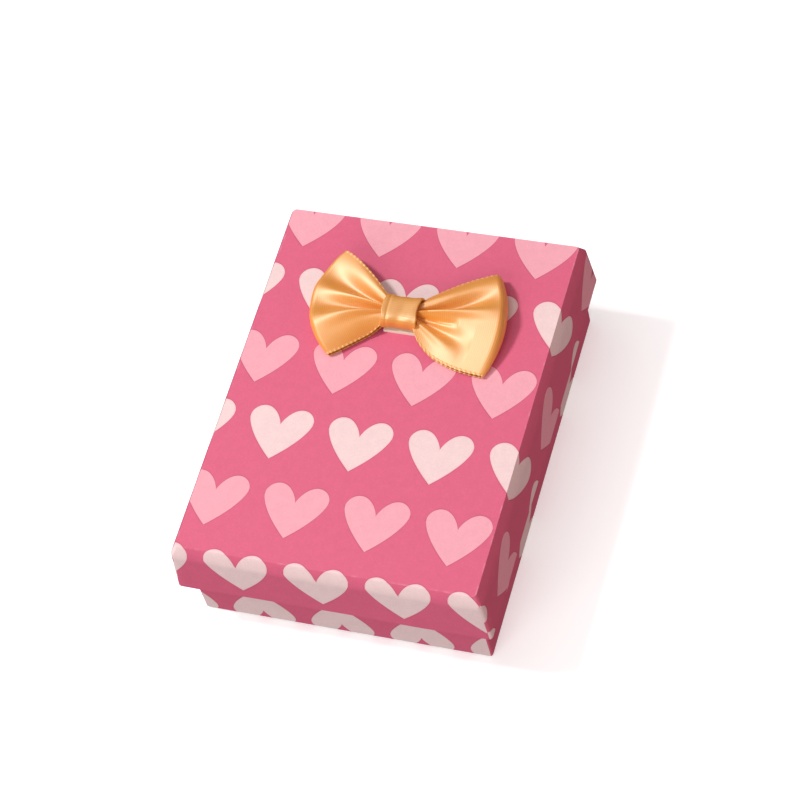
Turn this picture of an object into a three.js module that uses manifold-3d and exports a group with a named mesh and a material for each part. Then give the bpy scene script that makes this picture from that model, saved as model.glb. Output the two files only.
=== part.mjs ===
// A two-piece rigid gift box for jewelry, in millimetres, +Z up.
// The origin is the middle of the underside, +X runs to the right and +Y to the back.
// A paper-wrapped board lid telescopes over a paper-wrapped board base that holds a sponge pad,
// and a satin ribbon bow is stuck on the lid near its back edge.
import * as THREE from "three";
import { mergeVertices } from "three/addons/utils/BufferGeometryUtils.js";
import Module from "manifold-3d";

const wasm = await Module();
wasm.setup();

// Driving dimensions.
const BOARD = 1.25; // greyboard thickness
const PAPER = 0.25; // wrap paper and kraft tape thickness
const GAP = 0.3; // space left between pieces that don't bear on each other
const LID_HALF = { x: 35, y: 46 };
const LID_TOP = 28.25;
const LID_RIM = 13.5;
const LID_CLEARANCE = 0.5; // between the lid's turned-in paper and the base
const TURN_IN = 10; // how far the wrap runs up or down inside a wall
const EDGE_ROUND = 1; // edges between a wrapped tray's panel and its walls
const CORNER_EXTRA = 0.25; // how much rounder the upright corners are than those edges

const STAY = { leg: 7, inset: 1.5 }; // tape reach along each wall, and its distance from rim and panel

const PAD_TOP = 18;
const PAD_BOTTOM_GAP = 0.25;
const PAD_FACE = 0.5;
const RING_SLIT = { length: 26, width: 1.2, depth: 11 };
const EARRING_HOLE = { radius: 0.8, offset: 15, depth: 6 };
const CHAIN_NOTCH = { offset: 12, length: 6, width: 1.2, depth: 8 };

const BOW = { x: 0, y: 19.25 }; // middle of the knot on the lid
const GLUE_PAD = { halfX: 3.75, halfY: 3.5, thickness: 0.75 };
const RIBBON = 0.5; // drawn thickness of the folded ribbon
const BAND = { halfX: 4, halfY: 3.9, height: 4.5 };
const THREAD = { halfX: 0.9, thickness: 0.4 };
const LOOP = { lowest: 0.35, highest: 5.4, hollowStart: 6.5 };

// Outlines of the two ribbon loops seen from above, measured from the middle of the knot.
const LEFT_LOOP = [
  [-4.4, 3.1],
  [-17.4, 14],
  [-20.4, 8],
  [-21.4, -1],
  [-19, -8],
  [-14.2, -12],
  [-4.4, -3.1],
];
const RIGHT_LOOP = [
  [4.4, -3.1],
  [20.6, -12.6],
  [22.4, -5],
  [22.8, 3],
  [21.8, 9],
  [18.8, 13.6],
  [4.4, 3.1],
];

// Sizes that follow from the driving dimensions.
const LID_BOARD_HALF = inset(LID_HALF, PAPER);
const LID_INNER_HALF = inset(LID_BOARD_HALF, BOARD);
const LID_MOUTH_HALF = inset(LID_INNER_HALF, PAPER);
const LID_PANEL_UNDERSIDE = LID_TOP - PAPER - BOARD;
const BASE_HALF = inset(LID_MOUTH_HALF, LID_CLEARANCE);
const BASE_TOP = LID_PANEL_UNDERSIDE;
const BASE_BOARD_HALF = inset(BASE_HALF, PAPER);
const BASE_INNER_HALF = inset(BASE_BOARD_HALF, BOARD);
const BASE_MOUTH_HALF = inset(BASE_INNER_HALF, PAPER);
const FLOOR_TOP = PAPER + BOARD;
const BOARD_ROUND = EDGE_ROUND - PAPER;
const STAY_CORE_ROUND = BOARD_ROUND + CORNER_EXTRA - PAPER;

function inset(half, by) {
  return { x: half.x - by, y: half.y - by };
}

// A closed three.js geometry as a manifold solid.
function solid(geometry) {
  const bare = geometry.index ? geometry.toNonIndexed() : geometry;
  bare.deleteAttribute("normal");
  bare.deleteAttribute("uv");
  const merged = mergeVertices(bare, 1e-4);
  const made = new wasm.Mesh({
    numProp: 3,
    vertProperties: new Float32Array(merged.attributes.position.array),
    triVerts: new Uint32Array(merged.index.array),
  });
  return new wasm.Manifold(made);
}

// A named mesh of a solid, with its own material.
function piece(name, body, color, roughness, metalness = 0) {
  const mesh = body.getMesh();
  const geometry = new THREE.BufferGeometry();
  const positions = new Float32Array(mesh.numVert * 3);
  for (let i = 0; i < mesh.numVert; i++) {
    positions.set(mesh.vertProperties.subarray(i * mesh.numProp, i * mesh.numProp + 3), i * 3);
  }
  geometry.setAttribute("position", new THREE.BufferAttribute(positions, 3));
  geometry.setIndex(new THREE.BufferAttribute(new Uint32Array(mesh.triVerts), 1));
  geometry.computeVertexNormals();
  const material = new THREE.MeshStandardMaterial({ color, roughness, metalness });
  const made = new THREE.Mesh(geometry, material);
  made.name = name;
  return made;
}

// A plain box between two corners.
function box(low, high) {
  const size = high.map((value, axis) => value - low[axis]);
  const geometry = new THREE.BoxGeometry(...size);
  geometry.translate(...low.map((value, axis) => value + size[axis] / 2));
  return solid(geometry);
}

// A box centred on the Z axis between two heights.
function block(half, bottom, top) {
  return box([-half.x, -half.y, bottom], [half.x, half.y, top]);
}

function roundedRectangle(half, radius) {
  const shape = new THREE.Shape();
  const x = half.x - radius;
  const y = half.y - radius;
  shape.absarc(x, y, radius, 0, Math.PI / 2);
  shape.absarc(-x, y, radius, Math.PI / 2, Math.PI);
  shape.absarc(-x, -y, radius, Math.PI, 1.5 * Math.PI);
  shape.absarc(x, -y, radius, 1.5 * Math.PI, 2 * Math.PI);
  shape.closePath();
  return shape;
}

// A block with rounded upright corners, and rounded edges round its top or its bottom panel.
function trayBlock(half, bottom, top, edgeRound, panel) {
  const shape = roundedRectangle(inset(half, edgeRound), CORNER_EXTRA);
  const low = panel === "top" ? bottom - edgeRound : bottom + edgeRound;
  const high = panel === "top" ? top - edgeRound : top + edgeRound;
  const geometry = new THREE.ExtrudeGeometry(shape, {
    depth: high - low,
    curveSegments: 3,
    bevelEnabled: true,
    bevelThickness: edgeRound,
    bevelSize: edgeRound,
    bevelSegments: 3,
  });
  geometry.translate(0, 0, low);
  return solid(geometry).intersect(block({ x: half.x + 1, y: half.y + 1 }, bottom, top));
}

// A block with rounded upright corners and square edges.
function roundedBlock(half, bottom, top, radius) {
  const geometry = new THREE.ExtrudeGeometry(roundedRectangle(half, radius), {
    depth: top - bottom,
    curveSegments: 3,
    bevelEnabled: false,
  });
  geometry.translate(0, 0, bottom);
  return solid(geometry);
}

// A flat outline in the XY plane, raised between two heights.
function prism(points, bottom, top) {
  const shape = new THREE.Shape(points.map(([x, y]) => new THREE.Vector2(x, y)));
  const geometry = new THREE.ExtrudeGeometry(shape, { depth: top - bottom, bevelEnabled: false });
  geometry.translate(0, 0, bottom);
  return solid(geometry);
}

// An outline in the XZ plane, run from front to back.
function sideProfile(shape, halfDepth, curveSegments) {
  const geometry = new THREE.ExtrudeGeometry(shape, {
    depth: 2 * halfDepth,
    curveSegments,
    bevelEnabled: false,
  });
  geometry.translate(0, 0, -halfDepth);
  geometry.rotateX(Math.PI / 2);
  return solid(geometry);
}

// Four L-shaped kraft tapes, flush in the outside of a board tray's upright corners.
function cornerStays(outer, core, half, bottom, top) {
  const shell = outer.subtract(core);
  const stays = [];
  for (const sx of [-1, 1]) {
    for (const sy of [-1, 1]) {
      const from = [sx * (half.x - STAY.leg), sy * (half.y - STAY.leg)];
      const to = [sx * (half.x + 1), sy * (half.y + 1)];
      const low = [Math.min(from[0], to[0]), Math.min(from[1], to[1]), bottom];
      const high = [Math.max(from[0], to[0]), Math.max(from[1], to[1]), top];
      stays.push(shell.intersect(box(low, high)));
    }
  }
  return stays;
}

// The lid's board, its four stays and its paper.
function lidPieces() {
  const rim = LID_RIM + PAPER;
  const boardOuter = trayBlock(LID_BOARD_HALF, rim, LID_TOP - PAPER, BOARD_ROUND, "top");
  const core = roundedBlock(inset(LID_BOARD_HALF, PAPER), rim - 1, LID_TOP, STAY_CORE_ROUND);
  const hollow = block(LID_INNER_HALF, rim - 1, LID_PANEL_UNDERSIDE);
  const fullBoard = boardOuter.subtract(hollow);
  const stays = cornerStays(
    boardOuter,
    core,
    LID_BOARD_HALF,
    rim + STAY.inset,
    LID_PANEL_UNDERSIDE - STAY.inset,
  );
  const board = stays.reduce((rest, stay) => rest.subtract(stay), fullBoard);
  const wrap = trayBlock(LID_HALF, LID_RIM, LID_TOP, EDGE_ROUND, "top")
    .subtract(block(LID_MOUTH_HALF, LID_RIM - 1, LID_RIM + TURN_IN))
    .subtract(block(LID_INNER_HALF, LID_RIM + TURN_IN, LID_PANEL_UNDERSIDE))
    .subtract(fullBoard);
  return [
    piece("lid_board", board, 0x9a9186, 0.9),
    ...stays.map((stay, i) => piece(`lid_corner_stay_${i + 1}`, stay, 0xb58c5c, 0.8)),
    piece("lid_wrap", wrap, 0xe0708f, 0.55),
  ];
}

// The base's board, its four stays and its paper.
function basePieces() {
  const boardTop = BASE_TOP - PAPER;
  const boardOuter = trayBlock(BASE_BOARD_HALF, PAPER, boardTop, BOARD_ROUND, "bottom");
  const core = roundedBlock(inset(BASE_BOARD_HALF, PAPER), 0, BASE_TOP, STAY_CORE_ROUND);
  const hollow = block(BASE_INNER_HALF, FLOOR_TOP, boardTop + 1);
  const fullBoard = boardOuter.subtract(hollow);
  const stays = cornerStays(
    boardOuter,
    core,
    BASE_BOARD_HALF,
    FLOOR_TOP + STAY.inset,
    boardTop - STAY.inset,
  );
  const board = stays.reduce((rest, stay) => rest.subtract(stay), fullBoard);
  const wrap = trayBlock(BASE_HALF, 0, BASE_TOP, EDGE_ROUND, "bottom")
    .subtract(block(BASE_MOUTH_HALF, BASE_TOP - TURN_IN, BASE_TOP + 1))
    .subtract(block(BASE_INNER_HALF, FLOOR_TOP, BASE_TOP - TURN_IN))
    .subtract(fullBoard);
  return [
    piece("base_board", board, 0x9a9186, 0.9),
    ...stays.map((stay, i) => piece(`base_corner_stay_${i + 1}`, stay, 0xb58c5c, 0.8)),
    piece("base_wrap", wrap, 0xd8688a, 0.55),
  ];
}

// The cuts in the pad: a ring slit, two earring holes and four chain notches at the edges.
function padCuts(top) {
  const cuts = [];
  const slitHalf = { x: RING_SLIT.length / 2, y: RING_SLIT.width / 2 };
  cuts.push(block(slitHalf, top - RING_SLIT.depth, top + 1));
  for (const side of [-1, 1]) {
    const hole = new THREE.CylinderGeometry(
      EARRING_HOLE.radius,
      EARRING_HOLE.radius,
      EARRING_HOLE.depth + 1,
      12,
    );
    hole.rotateX(Math.PI / 2);
    hole.translate(side * EARRING_HOLE.offset, 14, top + (1 - EARRING_HOLE.depth) / 2);
    cuts.push(solid(hole));
    for (const end of [-1, 1]) {
      const edge = end * (BASE_MOUTH_HALF.y - GAP);
      const inner = edge - end * CHAIN_NOTCH.length;
      const outer = edge + end;
      const middle = side * CHAIN_NOTCH.offset;
      cuts.push(
        box(
          [middle - CHAIN_NOTCH.width / 2, Math.min(inner, outer), top - CHAIN_NOTCH.depth],
          [middle + CHAIN_NOTCH.width / 2, Math.max(inner, outer), top + 1],
        ),
      );
    }
  }
  return cuts;
}

// The sponge pad and the thin flocked sheet on its top.
function padPieces() {
  const half = inset(BASE_MOUTH_HALF, GAP);
  const top = PAD_TOP + PAD_FACE;
  const cuts = padCuts(top);
  const cut = (body) => cuts.reduce((rest, tool) => rest.subtract(tool), body);
  return [
    piece("foam_pad", cut(block(half, FLOOR_TOP + PAD_BOTTOM_GAP, PAD_TOP)), 0xf2efe8, 0.95),
    piece("pad_face", cut(block(half, PAD_TOP, top)), 0xf7f4ee, 0.95),
  ];
}

// Half of the bow seen from the front: thin at the knot, thick and round at the loop's end.
function loopProfile(side, end, grow) {
  const low = LOOP.lowest - grow;
  const high = LOOP.highest + grow;
  const start = grow < 0 ? LOOP.hollowStart : 4;
  const pinch = grow < 0 ? 0.3 : 1.45;
  const middle = GLUE_PAD.thickness + BAND.height / 2;
  const reach = end + grow;
  const shape = new THREE.Shape();
  shape.moveTo(side * start, middle - pinch);
  shape.lineTo(side * (start + 5), low);
  shape.lineTo(side * (reach - 2), low);
  shape.quadraticCurveTo(side * reach, low, side * reach, (low + high) / 2);
  shape.quadraticCurveTo(side * reach, high, side * (reach - 2), high);
  shape.lineTo(side * (start + 5), high);
  shape.lineTo(side * start, middle + pinch);
  shape.closePath();
  return shape;
}

// One ribbon loop: open to the front and the back, closed at its outer end.
function ribbonLoop(side, outline) {
  const end = Math.max(...outline.map(([x]) => Math.abs(x)));
  const outer = sideProfile(loopProfile(side, end, 0), 20, 4);
  const hollow = sideProfile(loopProfile(side, end, -RIBBON), 20, 4);
  const shrunk = outline.map(([x, y]) => [x - side * 2 * RIBBON, y * 1.5]);
  const body = outer.intersect(prism(outline, 0, 10));
  return body.subtract(hollow.intersect(prism(shrunk, 0, 10)));
}

// A flat ring round the X axis.
function ring(halfX, halfY, low, high, wall) {
  const outer = box([-halfX, -halfY, low], [halfX, halfY, high]);
  const inner = box([-halfX - 1, wall - halfY, low + wall], [halfX + 1, halfY - wall, high - wall]);
  return outer.subtract(inner);
}

// The bow: two loops of one ribbon, its gathering thread, the band round the knot and the adhesive pad.
// They are built with the knot's middle over the origin and the lid's top at height 0.
function bowPieces() {
  const bandLow = GLUE_PAD.thickness;
  const bandHigh = bandLow + BAND.height;
  const knotLow = bandLow + RIBBON + GAP;
  const knotHigh = bandHigh - RIBBON - GAP;
  const knotHalfY = BAND.halfY - RIBBON - GAP;
  const neckInset = THREAD.thickness + GAP;
  const knot = box([-4.5, -knotHalfY, knotLow], [4.5, knotHalfY, knotHigh]);
  const groove = ring(THREAD.halfX + GAP, knotHalfY, knotLow, knotHigh, neckInset);
  const ribbon = knot
    .subtract(groove)
    .add(ribbonLoop(-1, LEFT_LOOP))
    .add(ribbonLoop(1, RIGHT_LOOP));
  const thread = ring(THREAD.halfX, knotHalfY, knotLow, knotHigh, THREAD.thickness);
  const band = ring(BAND.halfX, BAND.halfY, bandLow, bandHigh, RIBBON);
  const glue = box(
    [-GLUE_PAD.halfX, -GLUE_PAD.halfY, 0],
    [GLUE_PAD.halfX, GLUE_PAD.halfY, GLUE_PAD.thickness],
  );
  const place = (body) => body.translate([BOW.x, BOW.y, LID_TOP]);
  return [
    piece("bow_ribbon", place(ribbon), 0xeab565, 0.4),
    piece("bow_knot_band", place(band), 0xdfa64f, 0.4),
    piece("bow_thread", place(thread), 0xa8682a, 0.7),
    piece("bow_glue_pad", place(glue), 0xf4ecd8, 0.5),
  ];
}

const giftBox = new THREE.Group();
for (const made of [...lidPieces(), ...basePieces(), ...padPieces(), ...bowPieces()]) {
  giftBox.add(made);
}

export default giftBox;
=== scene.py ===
"""A paper-covered gift box for jewelry, with a satin bow on its lift-off lid."""

import logging
import math
from dataclasses import dataclass
from enum import Enum

import bmesh
import bpy
import numpy as np
from mathutils import Matrix, Vector


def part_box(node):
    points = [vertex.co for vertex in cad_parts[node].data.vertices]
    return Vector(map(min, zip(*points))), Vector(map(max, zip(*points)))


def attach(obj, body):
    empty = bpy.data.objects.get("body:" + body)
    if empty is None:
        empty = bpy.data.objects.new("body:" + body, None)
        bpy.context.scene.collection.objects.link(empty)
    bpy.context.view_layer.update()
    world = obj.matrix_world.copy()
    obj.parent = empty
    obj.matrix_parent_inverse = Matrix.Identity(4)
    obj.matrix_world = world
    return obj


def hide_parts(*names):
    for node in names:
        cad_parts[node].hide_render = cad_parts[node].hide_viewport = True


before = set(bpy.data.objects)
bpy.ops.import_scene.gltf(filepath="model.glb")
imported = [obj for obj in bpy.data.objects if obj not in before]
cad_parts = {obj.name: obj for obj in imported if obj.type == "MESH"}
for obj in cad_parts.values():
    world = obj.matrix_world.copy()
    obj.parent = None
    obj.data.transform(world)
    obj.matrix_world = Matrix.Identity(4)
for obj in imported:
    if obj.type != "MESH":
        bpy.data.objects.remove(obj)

log = logging.getLogger("gift_box")
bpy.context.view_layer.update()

MM = 0.001
PAPER_UV = "Paper"
RIBBON_UV = "Ribbon"
UV_SPAN = 100.0  # millimetres of paper or ribbon in one unit of a UV map
STITCH = 1.25  # millimetres from stitch to stitch along a ribbon's selvage

Color = tuple[float, float, float]


# ---------------------------------------------------------------- shader graphs


class Value:
    """A number socket that Python's operators combine into Math nodes."""

    def __init__(self, graph: "Graph", socket: bpy.types.NodeSocket) -> None:
        """Wraps one output socket of a graph."""
        self.graph = graph
        self.socket = socket

    def __add__(self, other: "Number") -> "Value":
        """self + other."""
        return self.graph.math("ADD", self, other)

    def __radd__(self, other: float) -> "Value":
        """other + self."""
        return self.graph.math("ADD", other, self)

    def __sub__(self, other: "Number") -> "Value":
        """self - other."""
        return self.graph.math("SUBTRACT", self, other)

    def __rsub__(self, other: float) -> "Value":
        """other - self."""
        return self.graph.math("SUBTRACT", other, self)

    def __mul__(self, other: "Number") -> "Value":
        """self * other."""
        return self.graph.math("MULTIPLY", self, other)

    def __rmul__(self, other: float) -> "Value":
        """other * self."""
        return self.graph.math("MULTIPLY", other, self)

    def __truediv__(self, other: "Number") -> "Value":
        """self / other."""
        return self.graph.math("DIVIDE", self, other)

    def __pow__(self, other: "Number") -> "Value":
        """self to the power of other."""
        return self.graph.math("POWER", self, other)

    def abs(self) -> "Value":
        """The distance from zero."""
        return self.graph.math("ABSOLUTE", self)

    def floor(self) -> "Value":
        """The whole number below."""
        return self.graph.math("FLOOR", self)

    def fract(self) -> "Value":
        """What is left above the whole number below."""
        return self.graph.math("FRACT", self)

    def sine(self) -> "Value":
        """The sine of an angle in radians."""
        return self.graph.math("SINE", self)

    def least(self, other: "Number") -> "Value":
        """The smaller of two values."""
        return self.graph.math("MINIMUM", self, other)

    def most(self, other: "Number") -> "Value":
        """The larger of two values."""
        return self.graph.math("MAXIMUM", self, other)

    def ramp(self, low: float, high: float) -> "Value":
        """Turns the value into a smooth step.

        Args:
            low: where the step starts.
            high: where it ends.

        Returns:
            0 up to low, 1 from high, and smooth between them.
        """
        node = self.graph.node(
            "ShaderNodeMapRange",
            {"interpolation_type": "SMOOTHSTEP"},
            {"Value": self, "From Min": low, "From Max": high},
        )
        return Value(self.graph, node.outputs["Result"])


Number = Value | float


class Graph:
    """The node tree of one material."""

    def __init__(self, name: str) -> None:
        """Starts an empty material.

        Args:
            name: the material's name.
        """
        self.material = bpy.data.materials.new(name)
        self.material.use_nodes = True
        self.tree = self.material.node_tree
        self.tree.nodes.clear()

    def node(self, kind: str, settings: dict, inputs: dict) -> bpy.types.Node:
        """Adds one node.

        Args:
            kind: the node's type.
            settings: its own settings, set before its sockets. "stops" are a colour ramp's.
            inputs: values, or links to other sockets, by the name or number of the input.

        Returns:
            The new node.
        """
        node = self.tree.nodes.new(kind)
        for key, value in settings.items():
            if key == "stops":
                self._stops(node, value)
            else:
                setattr(node, key, value)
        for key, value in inputs.items():
            self.feed(node.inputs[key], value)
        return node

    def _stops(self, node: bpy.types.Node, stops: list[tuple[float, Color]]) -> None:
        """Sets the stops of a colour ramp.

        Args:
            node: the ramp.
            stops: the place and the colour of each stop.
        """
        elements = node.color_ramp.elements
        while len(elements) < len(stops):
            elements.new(0.5)
        for element, (place, color) in zip(elements, stops):
            element.position = place
            element.color = (*color, 1)

    def feed(self, socket: bpy.types.NodeSocket, value: object) -> None:
        """Links a socket, or sets its value.

        Args:
            socket: the input socket.
            value: a value or socket to link, or the plain value to set.
        """
        if isinstance(value, Value):
            self.tree.links.new(value.socket, socket)
        elif isinstance(value, bpy.types.NodeSocket):
            self.tree.links.new(value, socket)
        elif isinstance(value, tuple) and len(value) == 3 and socket.type == "RGBA":
            socket.default_value = (*value, 1)
        else:
            socket.default_value = value

    def math(self, operation: str, *values: Number) -> Value:
        """Adds one Math node.

        Args:
            operation: what it works out.
            values: its inputs, in order.

        Returns:
            Its result.
        """
        inputs = dict(enumerate(values))
        node = self.node("ShaderNodeMath", {"operation": operation}, inputs)
        return Value(self, node.outputs[0])

    def axes(self, vector: bpy.types.NodeSocket) -> tuple[Value, Value, Value]:
        """The three numbers of a vector."""
        node = self.node("ShaderNodeSeparateXYZ", {}, {"Vector": vector})
        return tuple(Value(self, out) for out in node.outputs)

    def place(self) -> bpy.types.NodeSocket:
        """The piece's own coordinates, in metres."""
        return self.node("ShaderNodeTexCoord", {}, {}).outputs["Object"]

    def uv(self, name: str) -> tuple[Value, Value]:
        """Reads a UV map.

        Args:
            name: the map's name.

        Returns:
            The places across and along the flat sheet, in millimetres.
        """
        node = self.node("ShaderNodeUVMap", {"uv_map": name}, {})
        across, along, _ = self.axes(node.outputs["UV"])
        return across * UV_SPAN, along * UV_SPAN

    def noise(self, vector: bpy.types.NodeSocket, scale: float, detail: float) -> Value:
        """Smooth noise around 0.5."""
        node = self.node(
            "ShaderNodeTexNoise", {}, {"Vector": vector, "Scale": scale, "Detail": detail}
        )
        return Value(self, node.outputs["Fac"])

    def stretch(
        self, vector: bpy.types.NodeSocket, scale: tuple[float, float, float]
    ) -> bpy.types.NodeSocket:
        """A vector scaled along each of its axes."""
        node = self.node("ShaderNodeMapping", {}, {"Vector": vector, "Scale": scale})
        return node.outputs["Vector"]

    def mix(self, factor: Number, first: object, second: object) -> bpy.types.NodeSocket:
        """A colour between two colours."""
        node = self.node(
            "ShaderNodeMix", {"data_type": "RGBA"}, {0: factor, 6: first, 7: second}
        )
        return node.outputs[2]

    def bump(self, height: Value, strength: float, distance: float) -> bpy.types.NodeSocket:
        """A normal raised by a height.

        Args:
            height: the height field, from about 0 to 1.
            strength: how much of it counts.
            distance: the height in metres of a value of 1.

        Returns:
            The normal socket.
        """
        node = self.node(
            "ShaderNodeBump", {}, {"Height": height, "Strength": strength, "Distance": distance}
        )
        return node.outputs["Normal"]

    def surface(
        self, color: object, roughness: object, normal: object = None, **fixed: object
    ) -> bpy.types.Material:
        """Ends the graph in one shader.

        Args:
            color: the base colour, a value or a link.
            roughness: the roughness, a value or a link.
            normal: the normal link, or None.
            fixed: values that are the same all over, by socket name with _ for spaces.

        Returns:
            The finished material.
        """
        shader = self.node(
            "ShaderNodeBsdfPrincipled", {}, {"Base Color": color, "Roughness": roughness}
        )
        if normal is not None:
            self.feed(shader.inputs["Normal"], normal)
        for key, value in fixed.items():
            self.feed(shader.inputs[key.replace("_", " ")], value)
        self.node("ShaderNodeOutputMaterial", {}, {"Surface": shader.outputs["BSDF"]})
        return self.material


# ---------------------------------------------------------------- finishes


@dataclass(frozen=True)
class HeartPaper:
    """Art paper printed with rows of hearts, every second row shifted and paler.

    Lengths are in millimetres of the flat sheet; the hearts' tips point to its -Y side.
    """

    name: str
    column: float = 18.17  # from heart to heart in a row
    row: float = 18.31  # from row to row
    first_x: float = -28.7  # the tip of one heart in the brighter row
    first_y: float = 34.75
    turn: float = -0.004  # how far the print is turned on the box, in radians
    half_width: float = 7.25
    notch: float = 8.75  # heights above the tip
    lobe_top: float = 13.05
    widest: float = 10.0
    lobe: float = 4.3  # the lobe's highest point, from the heart's middle line
    inner_curve: float = 0.78  # 0.5 would round that side of the lobe off as an oval
    outer_curve: float = 0.5
    side_curve: float = 0.65  # 1 would make the sides straight
    ground: Color = (0.71, 0.126, 0.222)
    bright_heart: Color = (0.87, 0.385, 0.45)
    pale_heart: Color = (0.85, 0.63, 0.62)
    lip: Color = (0.9, 0.45, 0.48)
    keyline: Color = (0.42, 0.06, 0.13)
    worn: Color = (0.86, 0.5, 0.56)
    lip_weight: float = 0.45  # how strongly each tint shows
    keyline_weight: float = 0.42
    wear: float = 0.22
    fold_x: float = 33.5  # where the sheet folds over the tray's edges
    fold_y: float = 44.5

    def _heart(self, x: Value, y: Value) -> Value:
        """How deep a place lies inside a heart whose tip is at 0, 0; below 0 outside it.

        Args:
            x: the distance to the right of the heart's middle line.
            y: the height above its tip.

        Returns:
            Roughly the distance to the nearest part of the outline.
        """
        away = x.abs()
        inner = ((self.lobe - away) / self.lobe).most(0.0)
        outer = ((away - self.lobe) / (self.half_width - self.lobe)).most(0.0)
        inner_arc = (1.0 - inner * inner).most(0.0) ** self.inner_curve
        outer_arc = (1.0 - outer * outer).most(0.0) ** self.outer_curve
        near = self.notch + (self.lobe_top - self.notch) * inner_arc
        far = self.widest + (self.lobe_top - self.widest) * outer_arc
        beyond = away.ramp(self.lobe - 0.01, self.lobe + 0.01)
        upper = near * (1.0 - beyond) + far * beyond
        share = (1.0 - away / self.half_width).most(0.0)
        lower = self.widest * (1.0 - share**self.side_curve)
        return (upper - y).least((y - lower) * 0.75).least(self.half_width - away)

    def build(self) -> bpy.types.Material:
        """Prints the sheet, and rubs the ink a little where it is folded.

        Returns:
            The paper's material.
        """
        graph = Graph(self.name)
        across, along = graph.uv(PAPER_UV)
        sheet_x = across + along * self.turn - self.first_x
        sheet_y = along - across * self.turn - self.first_y
        rows = sheet_y / self.row
        shifted = (rows.floor() * 0.5).fract() * 2.0
        columns = (sheet_x - shifted * (self.column / 2)) / self.column + 0.5
        heart_x = (columns.fract() - 0.5) * self.column
        depth = self._heart(heart_x, rows.fract() * self.row)
        heart = depth.ramp(-0.05, 0.09)
        place = graph.place()
        grain = graph.noise(place, 2600.0, 3.0)
        cloud = graph.noise(place, 420.0, 2.0)
        tint = graph.mix(shifted, self.bright_heart, self.pale_heart)
        lip = (1.0 - depth.ramp(0.08, 0.5)) * shifted
        tint = graph.mix(lip * self.lip_weight, tint, self.lip)
        keyline = depth.ramp(-0.36, -0.08) * self.keyline_weight
        ground = graph.mix(keyline, self.ground, self.keyline)
        printed = graph.mix(heart, ground, tint)
        mottled = graph.node(
            "ShaderNodeMix",
            {"data_type": "RGBA", "blend_type": "MULTIPLY"},
            {0: 1.0, 6: printed, 7: self._mottle(graph, grain, cloud)},
        ).outputs[2]
        edge = ((across.abs() - self.fold_x).abs()).least((along.abs() - self.fold_y).abs())
        rubbed = (1.0 - edge.ramp(0.05, 0.35)) * graph.noise(place, 380.0, 3.0).ramp(0.5, 0.7)
        color = graph.mix(rubbed * self.wear, mottled, self.worn)
        roughness = 0.5 + cloud * 0.12
        relief = grain * 0.7 + cloud * 0.3
        return graph.surface(
            color, roughness, graph.bump(relief, 0.35, 0.00004), Specular_IOR_Level=0.35
        )

    def _mottle(self, graph: Graph, grain: Value, cloud: Value) -> bpy.types.NodeSocket:
        """Works out how the paper's fibres shade the print.

        Args:
            graph: the material's graph.
            grain: the fine noise.
            cloud: the slower noise.

        Returns:
            A near-white colour.
        """
        node = graph.node(
            "ShaderNodeValToRGB",
            {"stops": [(0.3, (0.9, 0.88, 0.89)), (0.7, (1.0, 1.0, 1.0))]},
            {"Fac": grain * 0.65 + cloud * 0.35},
        )
        return node.outputs["Color"]


@dataclass(frozen=True)
class Greyboard:
    """Recycled grey board, with fibres and dark flecks."""

    light: Color = (0.36, 0.33, 0.29)
    dark: Color = (0.22, 0.2, 0.175)
    fleck: Color = (0.07, 0.06, 0.055)

    def build(self) -> bpy.types.Material:
        """Mixes fibres, clouds and flecks.

        Returns:
            The board's material.
        """
        graph = Graph("greyboard")
        place = graph.place()
        fibre = graph.noise(graph.stretch(place, (1.0, 0.3, 1.0)), 1800.0, 4.0)
        cloud = graph.noise(place, 160.0, 3.0)
        flecks = graph.noise(place, 1300.0, 1.0).ramp(0.7, 0.76)
        color = graph.mix(fibre * 0.6 + cloud * 0.4, self.dark, self.light)
        color = graph.mix(flecks * 0.7, color, self.fleck)
        normal = graph.bump(fibre, 0.5, 0.00012)
        return graph.surface(color, 0.86 + cloud * 0.1, normal, Specular_IOR_Level=0.25)


@dataclass(frozen=True)
class KraftTape:
    """Brown kraft paper tape with long fibres."""

    light: Color = (0.5, 0.33, 0.18)
    dark: Color = (0.33, 0.2, 0.1)

    def build(self) -> bpy.types.Material:
        """Lays long fibres and laid lines.

        Returns:
            The tape's material.
        """
        graph = Graph("kraft_tape")
        place = graph.place()
        fibre = graph.noise(graph.stretch(place, (1.0, 1.0, 0.2)), 1500.0, 4.0)
        lines = (graph.axes(place)[2] * 7000.0).sine() * 0.5 + 0.5
        color = graph.mix(fibre, self.dark, self.light)
        normal = graph.bump(fibre * 0.7 + lines * 0.3, 0.4, 0.00006)
        return graph.surface(color, 0.68 + fibre * 0.15, normal)


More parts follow.
